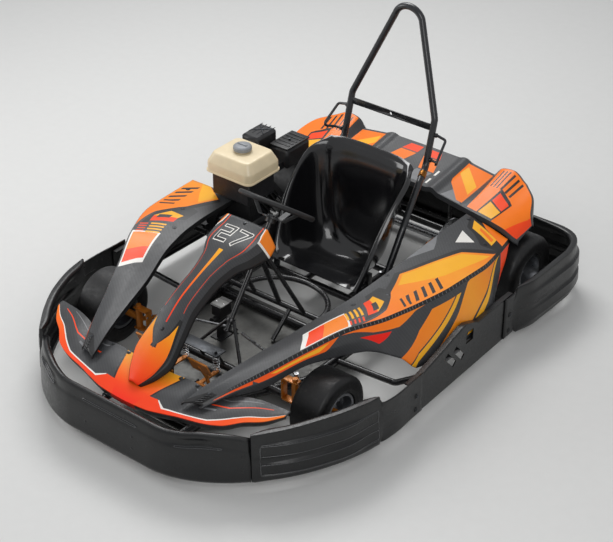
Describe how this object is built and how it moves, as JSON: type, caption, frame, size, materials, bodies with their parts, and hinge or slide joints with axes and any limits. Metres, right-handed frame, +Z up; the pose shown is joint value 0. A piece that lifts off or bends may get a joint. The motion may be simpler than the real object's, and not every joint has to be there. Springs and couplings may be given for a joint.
{
  "type": "racing kart",
  "caption": "Rental racing kart with a full bumper ring, moulded bucket seat, roll hoop, side engine, chain drive, steerable front wheels and sprung pedals.",
  "frame": {"origin": "on the floor, under the middle of the bumper ring", "axes": "+X to the kart's left, -Y to its front, +Z up"},
  "size_m": [1.3982, 1.85, 1.0383],
  "materials": {
    "frame_paint": "satin black powder coat",
    "bumper_plastic": "moulded satin black",
    "panel_plastic": "fine-grained charcoal with orange livery",
    "seat_plastic": "glossy black",
    "tyre_rubber": "slick tread",
    "grip_rubber": "fine grain",
    "bare_steel": "plated",
    "alloy": "bare",
    "gold_paint": "orange zinc",
    "tank_paint": "gloss cream",
    "engine_black": "black coat",
    "grey_plastic": "moulded grey"
  },
  "bodies": {
    "chassis": {"chassis_frame": "frame_paint", "floor_pan": "alloy", "front_bumper": "bumper_plastic", "front_corner_bumper_l": "bumper_plastic", "front_corner_bumper_r": "bumper_plastic", "side_bumper_l": "bumper_plastic", "side_bumper_r": "bumper_plastic", "rear_corner_bumper_l": "bumper_plastic", "rear_corner_bumper_r": "bumper_plastic", "rear_bumper": "bumper_plastic", "front_bumper_bar": "frame_paint", "side_bar_l": "frame_paint", "side_bar_r": "frame_paint", "rear_bumper_bar": "frame_paint", "nose_fairing": "panel_plastic", "steering_cowl": "panel_plastic", "cowl_bracket": "frame_paint", "side_pod_l": "panel_plastic", "side_pod_r": "panel_plastic", "rear_cover": "panel_plastic", "seat": "seat_plastic", "roll_hoop": "frame_paint", "belt_bracket_l": "frame_paint", "belt_bracket_r": "frame_paint", "axle_bearing_l": "bare_steel", "axle_bearing_r": "bare_steel", "brake_caliper": "bare_steel", "brake_master_cylinder": "bare_steel", "chain": "bare_steel", "chain_guard": "bumper_plastic", "engine_block": "engine_black", "fuel_tank": "tank_paint", "air_cleaner": "engine_black", "muffler": "engine_black", "recoil_cover": "engine_black", "brake_return_spring": "bare_steel", "throttle_return_spring": "bare_steel"},
    "steering": {"steering_column": "frame_paint", "steering_wheel_frame": "bare_steel", "steering_grip": "grip_rubber"},
    "knuckle_l": {"spindle_l": "gold_paint"},
    "knuckle_r": {"spindle_r": "gold_paint"},
    "rod_l": {"tie_rod_l": "bare_steel"},
    "rod_r": {"tie_rod_r": "bare_steel"},
    "wheel_fl": {"front_rim_l": "alloy", "front_tyre_l": "tyre_rubber"},
    "wheel_fr": {"front_rim_r": "alloy", "front_tyre_r": "tyre_rubber"},
    "rear_axle_group": {"rear_axle": "bare_steel", "rear_rim_l": "alloy", "rear_tyre_l": "tyre_rubber", "rear_rim_r": "alloy", "rear_tyre_r": "tyre_rubber", "brake_disc": "bare_steel", "axle_sprocket": "bare_steel"},
    "clutch": {"clutch_drum": "bare_steel"},
    "throttle": {"throttle_pedal": "gold_paint"},
    "brake": {"brake_pedal": "gold_paint"},
    "cap": {"fuel_cap": "grey_plastic"},
    "starter_handle": {"recoil_handle": "grip_rubber"}
  },
  "joints": [
    {"name": "steering_turn", "type": "hinge", "parent": "chassis", "child": "steering", "pos_m": [0, -0.074, 0.553], "axis": [0, 0.5948, 0.8039], "range_deg": [-45, 45]},
    {"name": "kingpin_l", "type": "hinge", "parent": "chassis", "child": "knuckle_l", "pos_m": [0.35, -0.41, 0.1275], "axis": [0, 0, 1], "range_deg": [-23, 23]},
    {"name": "rod_end_l", "type": "hinge", "parent": "knuckle_l", "child": "rod_l", "pos_m": [0.295, -0.335, 0.1275], "axis": [0, 0, 1], "range_deg": [-28, 28]},
    {"name": "front_wheel_spin_l", "type": "hinge", "parent": "knuckle_l", "child": "wheel_fl", "pos_m": [0.48, -0.41, 0.1275], "axis": [1, 0, 0], "continuous": true},
    {"name": "kingpin_r", "type": "hinge", "parent": "chassis", "child": "knuckle_r", "pos_m": [-0.35, -0.41, 0.1275], "axis": [0, 0, 1], "range_deg": [-23, 23]},
    {"name": "rod_end_r", "type": "hinge", "parent": "knuckle_r", "child": "rod_r", "pos_m": [-0.295, -0.335, 0.1275], "axis": [0, 0, 1], "range_deg": [-28, 28]},
    {"name": "front_wheel_spin_r", "type": "hinge", "parent": "knuckle_r", "child": "wheel_fr", "pos_m": [-0.48, -0.41, 0.1275], "axis": [1, 0, 0], "continuous": true},
    {"name": "rear_axle_spin", "type": "hinge", "parent": "chassis", "child": "rear_axle_group", "pos_m": [0, 0.67, 0.14], "axis": [1, 0, 0], "continuous": true},
    {"name": "clutch_spin", "type": "hinge", "parent": "chassis", "child": "clutch", "pos_m": [-0.272, 0.17, 0.205], "axis": [1, 0, 0], "continuous": true},
    {"name": "throttle_press", "type": "hinge", "parent": "chassis", "child": "throttle", "pos_m": [-0.115, -0.565, 0.118], "axis": [1, 0, 0], "range_deg": [0, 18], "stiffness_Nm_per_rad": 8, "springref_deg": -8.59, "deforming": ["throttle_return_spring"]},
    {"name": "brake_press", "type": "hinge", "parent": "chassis", "child": "brake", "pos_m": [0.115, -0.565, 0.118], "axis": [1, 0, 0], "range_deg": [0, 15], "stiffness_Nm_per_rad": 10, "springref_deg": -8.59, "deforming": ["brake_return_spring"]},
    {"name": "cap_turn", "type": "hinge", "parent": "chassis", "child": "cap", "pos_m": [-0.354, 0.163, 0.551], "axis": [0, 0, 1], "range_deg": [0, 90]},
    {"name": "starter_pull", "type": "slide", "parent": "chassis", "child": "starter_handle", "axis": [0, -1, 0], "range_m": [0, 0.2]}
  ],
  "couplings": [
    {"joint": "kingpin_l", "follows": "steering_turn", "ratio": 0.5},
    {"joint": "rod_end_l", "follows": "steering_turn", "ratio": -0.6},
    {"joint": "kingpin_r", "follows": "steering_turn", "ratio": 0.5},
    {"joint": "rod_end_r", "follows": "steering_turn", "ratio": -0.6},
    {"joint": "clutch_spin", "follows": "rear_axle_spin", "ratio": 2.7}
  ]
}
